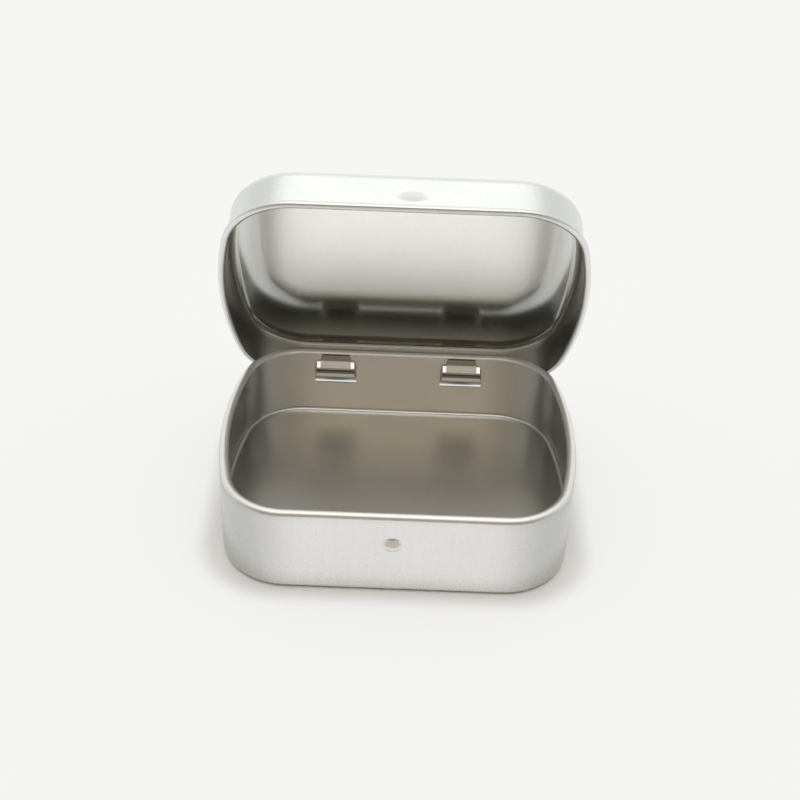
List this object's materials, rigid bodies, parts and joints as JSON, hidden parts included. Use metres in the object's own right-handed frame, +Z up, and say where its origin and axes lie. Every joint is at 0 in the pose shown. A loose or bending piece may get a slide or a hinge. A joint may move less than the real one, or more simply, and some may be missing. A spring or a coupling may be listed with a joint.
{
  "type": "hinged tin",
  "caption": "Small rounded rectangular tinplate box with an attached lid that swings open on two hooked hinge tongues.",
  "frame": {"origin": "middle of the base's foot ring, at the height of the surface that it stands on", "axes": "+X to the right along the front, +Y to the hinge side, +Z up"},
  "size_m": [0.0632, 0.0555, 0.0564],
  "materials": {
    "base_tinplate": "satin",
    "lid_tinplate": "satin",
    "tongue_bright": "polished"
  },
  "bodies": {
    "base": {"base_shell": "base_tinplate"},
    "lid": {"lid_shell": "lid_tinplate", "hinge_tongue_left": "tongue_bright", "hinge_tongue_right": "tongue_bright"}
  },
  "joints": [
    {"name": "lid_hinge", "type": "hinge", "parent": "base", "child": "lid", "pos_m": [0, 0.0248, 0.0084], "axis": [-1, 0, 0], "range_deg": [-66.3, 0]}
  ]
}
